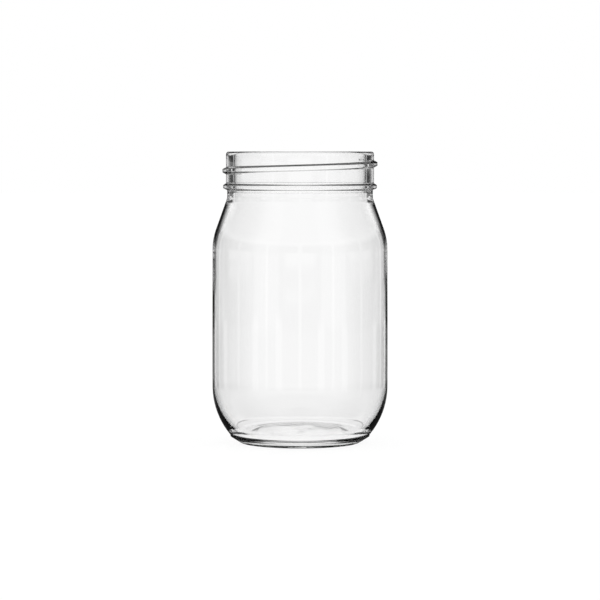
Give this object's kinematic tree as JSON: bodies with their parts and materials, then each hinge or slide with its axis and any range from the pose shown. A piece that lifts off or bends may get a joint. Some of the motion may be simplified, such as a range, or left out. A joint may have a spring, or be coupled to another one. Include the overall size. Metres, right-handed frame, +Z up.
{
  "type": "drinking jar",
  "caption": "Clear glass drinking jar with a round straight body, sloping shoulder, rounded heel and a screw-thread mouth with a bead below the thread.",
  "frame": {"origin": "centre of the bearing ring that the jar stands on", "axes": "+Z up along the jar's axis, towards the mouth; -Y is the side that the picture shows"},
  "size_m": [0.0784, 0.0784, 0.1302],
  "materials": {
    "clear_glass": "smooth fire-polished clear glass"
  },
  "bodies": {
    "root": {"glass_jar": "clear_glass"}
  },
  "joints": []
}
